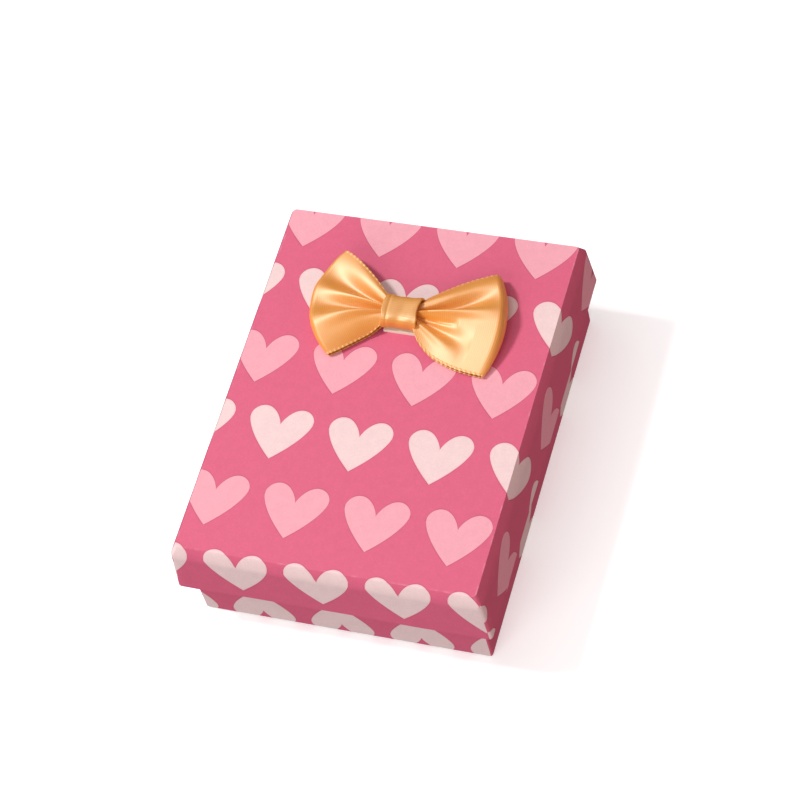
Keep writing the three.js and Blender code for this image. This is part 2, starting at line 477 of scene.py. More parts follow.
@dataclass(frozen=True)
class Satin:
    """Woven satin ribbon: fine ribs across it, a sheen, and stitched selvages.

    Lengths are in millimetres of the flat ribbon.
    """

    name: str
    width: float
    rib: float = 0.46  # from rib to rib
    yarn: float = 0.21  # from yarn to yarn
    stitch: float = STITCH
    selvage: float = 0.36
    light: Color = (0.95, 0.38, 0.035)
    dark: Color = (0.76, 0.22, 0.01)
    picot: Color = (0.95, 0.62, 0.25)

    def build(self) -> bpy.types.Material:
        """Weaves ribs and yarns, and stitches the two selvages.

        Returns:
            The ribbon's material.
        """
        graph = Graph(self.name)
        along, across = graph.uv(RIBBON_UV)
        place = graph.place()
        cloud = graph.noise(place, 260.0, 2.0)
        ribs = ((along + cloud * 0.35) * (math.tau / self.rib)).sine() * 0.5 + 0.5
        yarns = ((across + along * 0.35) * (math.tau / self.yarn)).sine() * 0.5 + 0.5
        weave = ribs * 0.75 + yarns * 0.25
        edge = (across.abs() - (self.width / 2 - self.selvage)).ramp(-0.05, 0.1)
        beat = (along * (math.tau / self.stitch)).sine().ramp(-0.1, 0.7)
        dots = edge * beat
        color = graph.mix(weave * 0.55 + cloud * 0.45, self.dark, self.light)
        color = graph.mix(dots * 0.5, color, self.picot)
        height = weave * 0.35 + dots * 1.2 + edge * 0.3
        return graph.surface(
            color,
            0.49 + weave * 0.08 + edge * 0.1,
            graph.bump(height, 0.6, 0.00006),
            IOR=2.15,
            Specular_IOR_Level=1.0,
            Specular_Tint=(1.0, 0.95, 0.76, 1.0),
            Sheen_Weight=0.06,
            Sheen_Roughness=0.4,
            Sheen_Tint=(1.0, 0.75, 0.35, 1.0),
        )


@dataclass(frozen=True)
class Thread:
    """Twisted brown sewing thread."""

    light: Color = (0.42, 0.2, 0.06)
    dark: Color = (0.2, 0.08, 0.02)

    def build(self) -> bpy.types.Material:
        """Twists two browns together.

        Returns:
            The thread's material.
        """
        graph = Graph("thread")
        x, y, z = graph.axes(graph.place())
        twist = ((x * 3.0 + y + z) * 9000.0).sine() * 0.5 + 0.5
        color = graph.mix(twist, self.dark, self.light)
        return graph.surface(color, 0.6 + twist * 0.15, graph.bump(twist, 0.6, 0.00008))


@dataclass(frozen=True)
class Glue:
    """A cloudy pad of hot-melt glue."""

    clear: Color = (0.9, 0.85, 0.72)
    milky: Color = (0.8, 0.72, 0.55)

    def build(self) -> bpy.types.Material:
        """Clouds the glue.

        Returns:
            The glue's material.
        """
        graph = Graph("glue")
        cloud = graph.noise(graph.place(), 500.0, 3.0)
        color = graph.mix(cloud, self.milky, self.clear)
        return graph.surface(color, 0.25 + cloud * 0.2, graph.bump(cloud, 0.5, 0.0002))


@dataclass(frozen=True)
class Sponge:
    """Fine open foam."""

    light: Color = (0.9, 0.88, 0.83)
    # Painted shade in the hollows of the foam's cells.
    pore_shade: Color = (0.55, 0.53, 0.48)

    def build(self) -> bpy.types.Material:
        """Opens small cells in pale foam, their hollows darkened with painted shade.

        Returns:
            The foam's material.
        """
        graph = Graph("sponge")
        place = graph.place()
        cells = graph.node(
            "ShaderNodeTexVoronoi", {"feature": "DISTANCE_TO_EDGE"}, {"Vector": place, "Scale": 1500.0}
        )
        wall = Value(graph, cells.outputs["Distance"]).ramp(0.0, 0.35)
        cloud = graph.noise(place, 120.0, 2.0)
        color = graph.mix(wall * 0.75 + cloud * 0.25, self.light, self.pore_shade)
        normal = graph.bump(1.0 - wall, 0.8, 0.0003)
        return graph.surface(color, 0.9 + cloud * 0.08, normal, Specular_IOR_Level=0.2)


@dataclass(frozen=True)
class Flock:
    """Short velvet pile."""

    light: Color = (0.93, 0.91, 0.87)
    dark: Color = (0.78, 0.75, 0.7)

    def build(self) -> bpy.types.Material:
        """Brushes a short pile.

        Returns:
            The flock's material.
        """
        graph = Graph("flock")
        place = graph.place()
        pile = graph.noise(place, 5200.0, 2.0)
        brushed = graph.noise(graph.stretch(place, (1.0, 0.35, 1.0)), 90.0, 3.0)
        color = graph.mix(pile * 0.5 + brushed * 0.5, self.dark, self.light)
        normal = graph.bump(pile * 0.8 + brushed * 0.2, 0.7, 0.0002)
        return graph.surface(
            color, 0.95, normal, Sheen_Weight=0.8, Sheen_Roughness=0.4, Specular_IOR_Level=0.15
        )


@dataclass(frozen=True)
class StudioFloor:
    """A plain white paper sweep."""

    light: Color = (0.93, 0.93, 0.93)
    dark: Color = (0.91, 0.91, 0.91)
    glow: float = 0.4  # light from below the paper, which thins the shadows

    def build(self) -> bpy.types.Material:
        """Lights the sweep a little from below.

        Returns:
            The floor's material.
        """
        graph = Graph("studio_floor")
        cloud = graph.noise(graph.place(), 6.0, 2.0)
        return graph.surface(
            graph.mix(cloud, self.dark, self.light),
            0.9,
            Specular_IOR_Level=0.0,
            Emission_Color=(1.0, 1.0, 1.0, 1.0),
            Emission_Strength=self.glow,
        )


# ---------------------------------------------------------------- mesh helpers


def make_active(piece: bpy.types.Object) -> None:
    """Selects one object alone, in object mode.

    Args:
        piece: the object.
    """
    if bpy.context.object is not None and bpy.context.object.mode != "OBJECT":
        bpy.ops.object.mode_set(mode="OBJECT")
    bpy.ops.object.select_all(action="DESELECT")
    piece.select_set(True)
    bpy.context.view_layer.objects.active = piece


def apply_modifiers(piece: bpy.types.Object) -> None:
    """Applies each modifier of a piece, first to last.

    Args:
        piece: the piece.
    """
    make_active(piece)
    for modifier in list(piece.modifiers):
        bpy.ops.object.modifier_apply(modifier=modifier.name)


def settle(piece: bpy.types.Object, angle: float) -> None:
    """Puts a piece's place in its mesh and shades it smooth, except at sharp edges.

    Args:
        piece: the piece.
        angle: the bend in degrees from which an edge is sharp.
    """
    make_active(piece)
    bpy.ops.object.transform_apply(location=True, rotation=True, scale=True)
    bpy.ops.object.shade_smooth_by_angle(angle=math.radians(angle))


def dress(piece: bpy.types.Object, material: bpy.types.Material) -> None:
    """Gives a piece one material."""
    piece.data.materials.clear()
    piece.data.materials.append(material)


def install(piece: bpy.types.Object, body: str, slot: str, *nodes: str) -> bpy.types.Object:
    """Ties a finished piece to the frame.

    Args:
        piece: the finished piece.
        body: the body that it rides on.
        slot: the record's material slot; not used.
        nodes: the frame's nodes that it stands for.

    Returns:
        The same piece.
    """
    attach(piece, body)
    if nodes:
        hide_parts(*nodes)
    log.info("%s: %d faces on body %s", piece.name, len(piece.data.polygons), body)
    return piece


def strip_mesh(
    name: str, points: np.ndarray, across: np.ndarray, along: np.ndarray
) -> bpy.types.Object:
    """Makes a strip of ribbon, its last row joined to its first, from a grid of points.

    Args:
        name: the piece's name.
        points: rows of points along the strip, in metres.
        across: how far each point lies from the strip's middle line, in millimetres.
        along: how far each row lies from the strip's start, in millimetres.

    Returns:
        The new object, with its UV map in millimetres of the flat strip.
    """
    rows, columns = points.shape[:2]
    mesh = bpy.data.meshes.new(name)
    faces = [
        (
            row * columns + column,
            row * columns + column + 1,
            (row + 1) % rows * columns + column + 1,
            (row + 1) % rows * columns + column,
        )
        for row in range(rows)
        for column in range(columns - 1)
    ]
    mesh.from_pydata([tuple(p) for p in points.reshape(-1, 3)], [], faces)
    step = along[-1] - along[-2]
    layer = mesh.uv_layers.new(name=RIBBON_UV)
    for polygon in mesh.polygons:
        row = polygon.index // (columns - 1)
        for corner in polygon.loop_indices:
            vertex = mesh.loops[corner].vertex_index
            here = vertex // columns
            length = along[here] if here >= row else along[-1] + step
            layer.data[corner].uv = (length / UV_SPAN, across[vertex % columns] / UV_SPAN)
    piece = bpy.data.objects.new(name, mesh)
    bpy.context.scene.collection.objects.link(piece)
    return piece


def run_along(strip: np.ndarray) -> np.ndarray:
    """Measures a strip along its middle column.

    Args:
        strip: its rows of points.

    Returns:
        How far each row lies from the first.
    """
    steps = np.linalg.norm(np.diff(strip[:, strip.shape[1] // 2], axis=0), axis=1)
    return np.concatenate([[0], np.cumsum(steps)])


def thicken(piece: bpy.types.Object, thickness: float, offset: float = 0.0) -> None:
    """Gives a sheet its thickness.

    Args:
        piece: the sheet.
        thickness: in metres.
        offset: -1 to grow inwards, 0 to grow both ways.
    """
    solid = piece.modifiers.new("thickness", "SOLIDIFY")
    solid.thickness = thickness
    solid.offset = offset
    apply_modifiers(piece)


def tube(name: str, path: np.ndarray, radius: float) -> bpy.types.Object:
    """Makes a round thread along a path, as a mesh.

    Args:
        name: the piece's name.
        path: the points that it follows, in metres.
        radius: its radius.

    Returns:
        The new object.
    """
    curve = bpy.data.curves.new(name, "CURVE")
    curve.dimensions = "3D"
    curve.bevel_depth = radius
    curve.bevel_resolution = 2
    curve.use_fill_caps = True
    spline = curve.splines.new("POLY")
    spline.points.add(len(path) - 1)
    for point, place in zip(spline.points, path):
        point.co = (*place, 1)
    piece = bpy.data.objects.new(name, curve)
    bpy.context.scene.collection.objects.link(piece)
    make_active(piece)
    bpy.ops.object.convert(target="MESH")
    return bpy.context.object


# ---------------------------------------------------------------- the paper-covered trays


class Opens(Enum):
    """Which way a tray's hollow faces."""

    DOWN = 1
    UP = -1


@dataclass
class TrayShell:
    """A shallow tray: a flat panel whose border is drawn down, ring by ring, into four walls.

    The panel ends in a crisp fold, a narrow slope leads from it to the walls, and the walls lean out.
    """

    name: str
    node: str
    opens: Opens
    slope_in: float = 1.4 * MM  # from the fold to the nominal outside
    slope_down: float = 2.3 * MM
    wall_inset: float = 0.25 * MM  # the walls' top, inside the nominal outside
    corner_round: float = 0.85 * MM
    flare: float = 0.6 * MM
    thickness: float = 0.16 * MM
    grid: tuple[int, int] = (28, 36)  # faces across and along the panel
    wall_rings: int = 8
    crease: float = 25.0  # the bend in degrees from which a fold looks sharp

    def __post_init__(self) -> None:
        """Takes the outer size from the frame."""
        low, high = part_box(self.node)
        self.half_x, self.half_y = high.x, high.y
        self.fold_x, self.fold_y = high.x - self.slope_in, high.y - self.slope_in
        self.height = high.z - low.z
        self.panel_z = high.z if self.opens is Opens.DOWN else low.z

    def _walls(self, height: float) -> list[tuple[float, float]]:
        """The rings from the slope down to a height.

        Args:
            height: how far from the panel the last ring lies.

        Returns:
            For each ring, its inset from the nominal outside and its distance from the panel.
        """
        rings = []
        for step in range(self.wall_rings):
            share = step / (self.wall_rings - 1)
            inset = self.wall_inset - (self.wall_inset + self.flare) * share
            rings.append((inset, self.slope_down + (height - self.slope_down) * share))
        return rings

    def _profile(self) -> list[tuple[float, float]]:
        """The inset and the distance from the panel of each ring."""
        return self._walls(self.height)

    def _panel(self) -> bpy.types.Object:
        """Lays down the flat panel and rounds its four corners.

        Returns:
            The panel, in edit mode, its faces turned away from the hollow.
        """
        bpy.ops.object.select_all(action="DESELECT")
        bpy.ops.mesh.primitive_grid_add(
            x_subdivisions=self.grid[0],
            y_subdivisions=self.grid[1],
            size=1,
            location=(0, 0, self.panel_z),
        )
        piece = bpy.context.object
        piece.name = self.name
        piece.data.name = self.name
        piece.scale = (2 * self.fold_x, 2 * self.fold_y, 1)
        bpy.ops.object.transform_apply(location=True, rotation=True, scale=True)
        bpy.ops.object.mode_set(mode="EDIT")
        bpy.ops.mesh.select_mode(type="VERT")
        bpy.ops.mesh.select_all(action="DESELECT")
        shape = bmesh.from_edit_mesh(piece.data)
        for vertex in shape.verts:
            at_x = abs(vertex.co.x) > self.fold_x - MM / 1000
            at_y = abs(vertex.co.y) > self.fold_y - MM / 1000
            vertex.select_set(at_x and at_y)
        shape.select_flush_mode()
        bmesh.update_edit_mesh(piece.data)
        bpy.ops.mesh.bevel(
            offset=self.corner_round, segments=4, affect="VERTICES", offset_type="OFFSET"
        )
        if self.opens is Opens.UP:
            bpy.ops.mesh.select_all(action="SELECT")
            bpy.ops.mesh.flip_normals()
        return piece

    def _draw_walls(self) -> None:
        """Extrudes the panel's border down the profile, and notes each ring's run along the sheet."""
        bpy.ops.mesh.select_all(action="SELECT")
        bpy.ops.mesh.region_to_loop()
        inset, depth, run = self.slope_in, 0.0, 0.0
        mesh = bpy.context.object.data
        shape = bmesh.from_edit_mesh(mesh)
        shape.verts.layers.float.new("run")
        bmesh.update_edit_mesh(mesh)
        for next_inset, next_depth in self._profile():
            bpy.ops.mesh.extrude_region_move(
                TRANSFORM_OT_translate={
                    "value": (0, 0, -self.opens.value * (next_depth - depth))
                }
            )
            bpy.ops.transform.resize(
                value=(
                    (self.half_x - next_inset) / (self.half_x - inset),
                    (self.half_y - next_inset) / (self.half_y - inset),
                    1,
                ),
                center_override=(0, 0, self.panel_z),
            )
            run += math.hypot(next_inset - inset, next_depth - depth)
            inset, depth = next_inset, next_depth
            shape = bmesh.from_edit_mesh(mesh)
            layer = shape.verts.layers.float["run"]
            for vertex in shape.verts:
                if vertex.select:
                    vertex[layer] = run
            bmesh.update_edit_mesh(mesh)
        bpy.ops.object.mode_set(mode="OBJECT")


@dataclass
class TrayBoard(TrayShell):
    """The bare board of a tray, kept clear of the tape that lies outside it."""

    slope_in: float = 1.7 * MM
    wall_inset: float = 0.28 * MM
    flare: float = -0.28 * MM
    thickness: float = 1.0 * MM

    def build(self) -> bpy.types.Object:
        """Folds the board.

        Returns:
            The finished board.
        """
        piece = self._panel()
        self._draw_walls()
        piece.data.attributes.remove(piece.data.attributes["run"])
        thicken(piece, self.thickness, offset=-1.0)
        settle(piece, angle=self.crease)
        return piece


@dataclass(frozen=True)
class Wander:
    """A slow wave along a wall with a faster one on it, in radians and radians a metre."""

    slow: float
    slow_start: float
    fast: float
    fast_start: float

    def at(self, place: float) -> float:
        """The two waves' height at a place along the wall, from about -1.5 to 1.5."""
        slow = math.sin(place * self.slow + self.slow_start)
        return slow + 0.5 * math.sin(place * self.fast + self.fast_start)


@dataclass
class TrayPaper(TrayShell):
    """Printed paper round a board tray: panel, four walls, the rim's fold and the turned-in flap."""

    rim_round: float = 0.3 * MM
    wall: float = 1.75 * MM  # from the nominal outside to the turned-in flap
    turn_in: float = 10 * MM
    turn_in_rings: int = 4
    take_up: tuple[float, float] = (0.0, 0.0)  # paper lost in the folds at the sides and the ends
    squarely: float = 0.93  # how squarely a face has to look along Y to be on an end wall
    tipped: float = 0.3  # how far a face has to look up or down to be on a slope or a rim
    slack: float = 0.07 * MM
    side_wander: Wander = Wander(95, 0.6, 210, 2.0)
    end_wander: Wander = Wander(120, 1.9, 260, 0.3)

    def _profile(self) -> list[tuple[float, float]]:
        """Adds the rounded rim and the turned-in flap to the walls.

        Returns:
            The inset and the distance from the panel of each ring.
        """
        rings = self._walls(self.height - self.rim_round)
        half_round = 0.3 * self.rim_round  # to the middle of the rim's round
        rings.append((-self.flare + half_round, self.height - half_round))
        rings.append((-self.flare + self.rim_round, self.height))
        rings.append((self.wall - self.rim_round, self.height))
        for step in range(self.turn_in_rings):
            run = self.turn_in * step / (self.turn_in_rings - 1)
            rings.append((self.wall, self.height - self.rim_round - run))
        return rings

    def _on_end(self, polygon: bpy.types.MeshPolygon) -> bool:
        """Tells whether a face of the border belongs to one of the two end walls.

        Args:
            polygon: the face.

        Returns:
            True on the front and back walls, with their slopes and rims.
        """
        if abs(polygon.normal.y) > self.squarely:
            return True
        past_end = abs(polygon.center.y) - self.half_y
        return abs(polygon.normal.z) > self.tipped and past_end > abs(polygon.center.x) - self.half_x

    def _lay_print(self, piece: bpy.types.Object) -> None:
        """Unwraps the paper in millimetres.

        The panel lies flat, the end walls run on from their own edges, and the side walls' paper goes on
        round the corners.

        Args:
            piece: the paper.
        """
        mesh = piece.data
        runs = np.zeros(len(mesh.vertices), np.float32)
        mesh.attributes["run"].data.foreach_get("value", runs)
        layer = mesh.uv_layers.new(name=PAPER_UV)
        for polygon in mesh.polygons:
            on_wall = max(runs[v] for v in polygon.vertices) > 0
            on_end = self._on_end(polygon)
            for corner in polygon.loop_indices:
                vertex = mesh.loops[corner].vertex_index
                place = mesh.vertices[vertex].co
                x, y = place.x, place.y
                if on_wall and on_end:
                    sheet_y = self.fold_y + runs[vertex] + self.take_up[1]
                    y = math.copysign(sheet_y, polygon.center.y)
                elif on_wall:
                    if abs(y) > self.fold_y - self.corner_round:
                        y += math.copysign(max(self.half_x - abs(x), 0.0), y)
                    sheet_x = self.fold_x + runs[vertex] + self.take_up[0]
                    x = math.copysign(sheet_x, polygon.center.x)
                layer.data[corner].uv = (x / MM / UV_SPAN, y / MM / UV_SPAN)
        mesh.attributes.remove(mesh.attributes["run"])

    def _slacken(self, piece: bpy.types.Object) -> None:
        """Lets the walls wander a little, as hand-wrapped paper does, most of all at the rim.

        Args:
            piece: the paper.
        """
        rim = self.panel_z - self.opens.value * self.height
        reach = 0.7 * self.height
        flap = self.wall + 0.6 * MM
        for vertex in piece.data.vertices:
            near_rim = 1 - min(abs(vertex.co.z - rim) / reach, 1)
            side = self.slack * near_rim * self.side_wander.at(vertex.co.y)
            end = self.slack * near_rim * self.end_wander.at(vertex.co.x)
            if abs(vertex.co.x) > self.half_x - flap:
                vertex.co.x += side
            if abs(vertex.co.y) > self.half_y - flap:
                vertex.co.y += end

    def build(self) -> bpy.types.Object:
        """Wraps the tray.

        Returns:
            The finished paper.
        """
        piece = self._panel()
        self._draw_walls()
        self._lay_print(piece)
        self._slacken(piece)
        thicken(piece, self.thickness, offset=-1.0)
        settle(piece, angle=self.crease)
        return piece


@dataclass
class Tray:
    """A board tray with its four corner stays and its printed paper."""

    prefix: str
    body: str
    paper: TrayPaper
    print_finish: HeartPaper
    board: TrayBoard | None = None  # None where the frame's own board is kept

    def build(self, board: bpy.types.Material, tape: bpy.types.Material) -> None:
        """Builds the paper, and dresses the board and the stays.

        Args:
            board: the board's material.
            tape: the stays' material.
        """
        wrap = self.paper.build()
        dress(wrap, self.print_finish.build())
        install(wrap, self.body, "heart_paper", self.paper.node)
        node = self.prefix + "_board"
        if self.board is None:
            dress(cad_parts[node], board)
        else:
            shell = self.board.build()
            dress(shell, board)
            install(shell, self.body, "greyboard", node)
        for number in range(1, 5):
            dress(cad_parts[f"{self.prefix}_corner_stay_{number}"], tape)


# ---------------------------------------------------------------- the bow


@dataclass(frozen=True)
class Fold:
    """One ridge or trough that runs out from the knot.

    knot and rim are where it lies across the ribbon, from -1 at the front to 1 at the back; height is in
    millimetres, below 0 for a trough; start and stop are the shares of the loop between which it shows.
    """

    knot: float
    rim: float
    height: float
    width: float
    start: float = -0.05
    stop: float = 1.05

    def lift(self, out: np.ndarray, across: np.ndarray) -> np.ndarray:
        """Works out how much the fold raises the ribbon.

        Args:
            out: the places' shares of the way out from the knot.
            across: their places across the loop, from -1 to 1.

        Returns:
            The rise at each place, in millimetres.
        """
        middle = self.knot + (self.rim - self.knot) * out
        spread = self.width * (0.35 + 0.65 * out)
        share = np.clip((out - self.start) / (self.stop - self.start), 0, 1)
        fade = np.sin(math.pi * share**0.8) ** 0.7
        return self.height * fade * np.exp(-(((across - middle) / spread) ** 2))


SWELL = 1.6  # how slim the swelling of a loop's edge is


@dataclass(frozen=True)
class Corner:
    """One outer corner of a loop: its place round the knot, and how the edge that leads to it swells."""

    angle: float  # degrees from straight out
    reach: float  # from the knot's middle
    bulge: float  # how far the edge swells from a straight line
    bulge_at: float  # where along the edge it swells most
    height: float  # of the top layer's selvage
    drop_from: float  # where across the loop the top layer starts to fall to that height
    drop_power: float  # 1 for an even slope, more for one that steepens

    def swell(self, place: np.ndarray) -> np.ndarray:
        """Works out how the edge swells on its way out.

        Args:
            place: shares of the way out from the knot, from 0 to 1.

        Returns:
            Shares of the bulge: 1 where it is widest, 0 at both ends.
        """
        peak = self.bulge_at
        rise = (place / peak) ** (SWELL * peak)
        return rise * ((1 - place) / (1 - peak)) ** (SWELL * (1 - peak))


@dataclass(frozen=True)
class Loop:
    """One loop of the bow, measured in millimetres from the middle of the knot and the lid's top."""

    side: int
    back: Corner
    front: Corner
    middle_reach: float  # how far the outer end lies out, straight ahead
    crown: float  # height of the top layer halfway out
    rim_height: float  # height where the outer end starts to roll down
    folds: tuple[Fold, ...]
    knot_x: float = 3.4
    knot_half: float = 2.9
    knot_top: float = 3.9
    knot_low: float = 2.0
    floor: float = 0.35  # how far the lower layer lies above the lid
    crown_at: float = 0.45  # share of the way out where the top layer is highest
    opened_by: float = 0.35  # share of the way out where the gathers have opened
    roll_from: float = 0.925  # share of the way out where the outer end rolls down
    swell_reach: float = 2.2  # more to keep the edges' swelling closer to them
    selvage_drop: float = 0.6  # how far the selvages lie below the top layer at the knot

    def _plan(self, out: np.ndarray, across: np.ndarray) -> tuple[np.ndarray, np.ndarray]:
        """Works out where points lie, seen from above.

        Args:
            out: the points' shares of the way out from the knot.
            across: their places across the loop, from -1 to 1.

        Returns:
            Their x and y, in millimetres.
        """
        angle = np.radians(
            (self.back.angle + self.front.angle) / 2
            + (self.back.angle - self.front.angle) / 2 * across
        )
        sides = (self.back.reach + self.front.reach) / 2
        reach = sides + (self.back.reach - self.front.reach) / 2 * across
        reach = reach + (self.middle_reach - sides) * (1 - across**2)
        x = self.knot_x + (reach * np.cos(angle) - self.knot_x) * out
        start_y = self.knot_half * across
        y = start_y + (reach * np.sin(angle) - start_y) * out
        place = np.clip(out, 0, 1)
        for corner, sign in ((self.back, 1), (self.front, -1)):
            near_edge = np.clip(sign * across, 0, 1) ** self.swell_reach
            y = y + sign * corner.bulge * corner.swell(place) * near_edge
        return self.side * x, y

    def _top(self, out: np.ndarray, across: np.ndarray) -> np.ndarray:
        """Works out the top layer's height, without the roll at its end.

        Args:
            out: the points' shares of the way out from the knot.
            across: their places across the loop, from -1 to 1.

        Returns:
            Their heights, in millimetres.
        """
        rise = np.clip(out / self.crown_at, 0, 1)
        rise = rise * rise * (3 - 2 * rise)
        fall = np.clip((out - self.crown_at) / (1 - self.crown_at), 0, 1)
        fall = fall * fall * (3 - 2 * fall)
        base = self.knot_top + (self.crown - self.knot_top) * rise
        base = base + (self.rim_height - self.crown) * fall
        base = base + sum(fold.lift(out, across) for fold in self.folds)
        opened = np.clip(out / self.opened_by, 0, 1)
        opened = opened * (2 - opened)
        for corner, sign in ((self.back, 1), (self.front, -1)):
            edge = self.knot_top - self.selvage_drop
            edge = edge + (corner.height - edge) * opened
            share = np.clip((sign * across - corner.drop_from) / (1 - corner.drop_from), 0, 1)
            base = base + np.minimum(edge - base, 0) * share**corner.drop_power
        return base

    def rows(self, across: np.ndarray, top: int, roll: int, low: int) -> np.ndarray:
        """The loop's rows of points, out over the top and back underneath.

        Args:
            across: where each column lies across the ribbon, from -1 to 1.
            top: how many rows the top layer has.
            roll: how many the rolled end has.
            low: how many the underside has.

        Returns:
            An array of rows by columns by 3, in millimetres.
        """
        made = []
        end_out = self.roll_from
        for step in range(top):
            out = np.full_like(across, end_out * step / top)
            x, y = self._plan(out, across)
            made.append(np.stack([x, y, self._top(out, across)], -1))
        ends = np.full_like(across, end_out)
        end_top = self._top(ends, across)
        radius = (end_top - self.floor) / 2
        for step in range(roll):
            angle = math.pi * step / roll
            out = end_out + (1 - end_out) * math.sin(angle)
            x, y = self._plan(np.full_like(across, out), across)
            z = self.floor + radius * (1 + math.cos(angle))
            made.append(np.stack([x, y, z], -1))
        for step in range(low + 1):
            out = np.full_like(across, end_out * (1 - step / low))
            x, y = self._plan(out, across)
            lift = np.clip(1 - out / self.opened_by, 0, 1) ** 2
            z = self.floor + (self.knot_low - self.floor) * lift
            made.append(np.stack([x, y, z], -1))
        return np.array(made)


@dataclass
class Bow:
    """The ribbon bow: its loops, the band round the knot, the thread under it and the glue pad."""

    ribbon_width: float = 25.4
    ribbon_thickness: float = 0.16 * MM
    band_width: float = 12.7
    band_shift: float = 0.15  # how far the band has slid toward the back
    loop_rows: tuple[int, int, int] = (130, 26, 60)  # over the top, round the end, underneath
    scallop: float = 0.05  # how far each stitch draws the selvage in
    scallop_rise: float = 0.04
    thread_radius: float = 0.17 * MM
    winds: int = 5
    wind_steps: int = 28  # points in one turn of the thread
    hem_bend: float = 0.16  # radius of the band's folded sides
    waist: float = 0.25  # how far the band's middle is drawn in
    furrow: float = 0.15  # depth of the band's crease
    furrow_at: float = -0.72  # share of the band's half width where the crease runs
    furrow_width: float = 0.05
    squareness: tuple[float, float] = (0.55, 0.6)  # of the band's loop; 1 would be an oval
    snug: float = 0.1  # how far the band lies inside its place
    ripple: float = 0.06
    edge_sway: tuple[float, float] = (0.2, 0.09)  # how far the band's edges wander, slowly and fast
    left: Loop = Loop(
        side=-1,
        back=Corner(38.2, 21.9, 1.1, 0.6, 4.6, 0.9, 2.0),
        front=Corner(-39.0, 18.3, 0.7, 0.85, 1.2, 0.45, 1.6),
        middle_reach=21.4,
        crown=4.2,
        rim_height=3.9,
        folds=(
            Fold(0.8, 1.0, 0.6, 0.35),
            Fold(0.4, 0.55, -1.7, 0.27),
            Fold(0.18, 0.27, 0.9, 0.17),
            Fold(-0.02, -0.06, -1.4, 0.22),
            Fold(-0.25, -0.4, 1.3, 0.2),
        ),
    )
    right: Loop = Loop(
        side=1,
        back=Corner(35.4, 23.2, 1.3, 0.45, 3.0, 0.6, 2.0),
        front=Corner(-29.0, 24.4, 3.2, 0.35, 1.2, 0.0, 1.25),
        middle_reach=23.4,
        crown=4.2,
        rim_height=4.6,
        folds=(
            Fold(0.7, 0.85, 0.3, 0.28),
            Fold(0.26, 0.55, -1.8, 0.22, -0.05, 0.95),
            Fold(0.06, 0.15, 1.1, 0.17),
            Fold(-0.12, -0.3, -1.3, 0.13, -0.05, 0.5),
            Fold(-0.25, -0.8, -2.2, 0.28, -0.05, 0.7),
            Fold(-0.55, -1.0, 1.0, 0.2, -0.05, 0.6),
        ),
    )

    def __post_init__(self) -> None:
        """Takes the bow's place from the frame."""
        low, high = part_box("bow_knot_band")
        self.band_low, self.band_high = low, high
        lid_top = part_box("lid_wrap")[1].z
        self.origin = Vector(((low.x + high.x) / 2, (low.y + high.y) / 2, lid_top))

    def _placed(self, points: np.ndarray) -> np.ndarray:
        """Points in millimetres round the knot, as points of the frame."""
        return points * MM + np.array(self.origin)

    def _columns(self) -> np.ndarray:
        """Spreads the ribbon's columns, closer together at the two selvages.

        Returns:
            Where they lie across it, from -1 to 1.
        """
        inner = np.linspace(-0.955, 0.955, 59)
        edge = np.array([0.97, 0.985, 1.0])
        return np.concatenate([-edge[::-1], inner, edge])

    def _ribbon(self) -> bpy.types.Object:
        """Folds the ribbon, one closed strip.

        Returns:
            The ribbon.
        """
        across = self._columns()
        right = self.right.rows(across, *self.loop_rows)
        left = self.left.rows(across, *self.loop_rows)
        strip = np.concatenate([right, left[::-1]])
        along = run_along(strip)
        self._scallop(strip, along)
        places = across * self.ribbon_width / 2
        piece = strip_mesh("bow_ribbon_strip", self._placed(strip), places, along)
        thicken(piece, self.ribbon_thickness)
        settle(piece, angle=80.0)
        dress(piece, Satin("satin_ribbon", self.ribbon_width).build())
        log.info("ribbon: %.1f mm long", along[-1])
        return install(piece, "lid", "satin_ribbon", "bow_ribbon")

    def _scallop(self, strip: np.ndarray, along: np.ndarray) -> None:
        """Draws the two selvages in and up at each stitch.

        Args:
            strip: the ribbon's rows of points, which it changes.
            along: how far each row lies from the strip's start, in millimetres.
        """
        beat = np.sin(along * math.tau / STITCH)[:, None]
        strip[:, -1:, 1] += self.scallop * beat
        strip[:, :1, 1] -= self.scallop * beat
        strip[:, [1, -2], 2] += self.scallop_rise * (1 + beat)

    def _band_section(self, flat: np.ndarray, half: float) -> tuple[np.ndarray, np.ndarray]:
        """The band across its width, with its two sides folded under.

        Args:
            flat: places across the flat ribbon, in millimetres from its middle line.
            half: half the folded width.

        Returns:
            How far each place lies from the middle, and how high it is above the lower layer.
        """
        bend = self.hem_bend
        straight = half - bend
        past = np.clip(np.abs(flat) - straight, 0, math.pi * bend)
        under = np.clip(np.abs(flat) - straight - math.pi * bend, 0, None)
        reach = np.clip(np.abs(flat), 0, straight) + bend * np.sin(past / bend) - under
        return np.sign(flat) * reach, bend * (np.cos(past / bend) - 1)

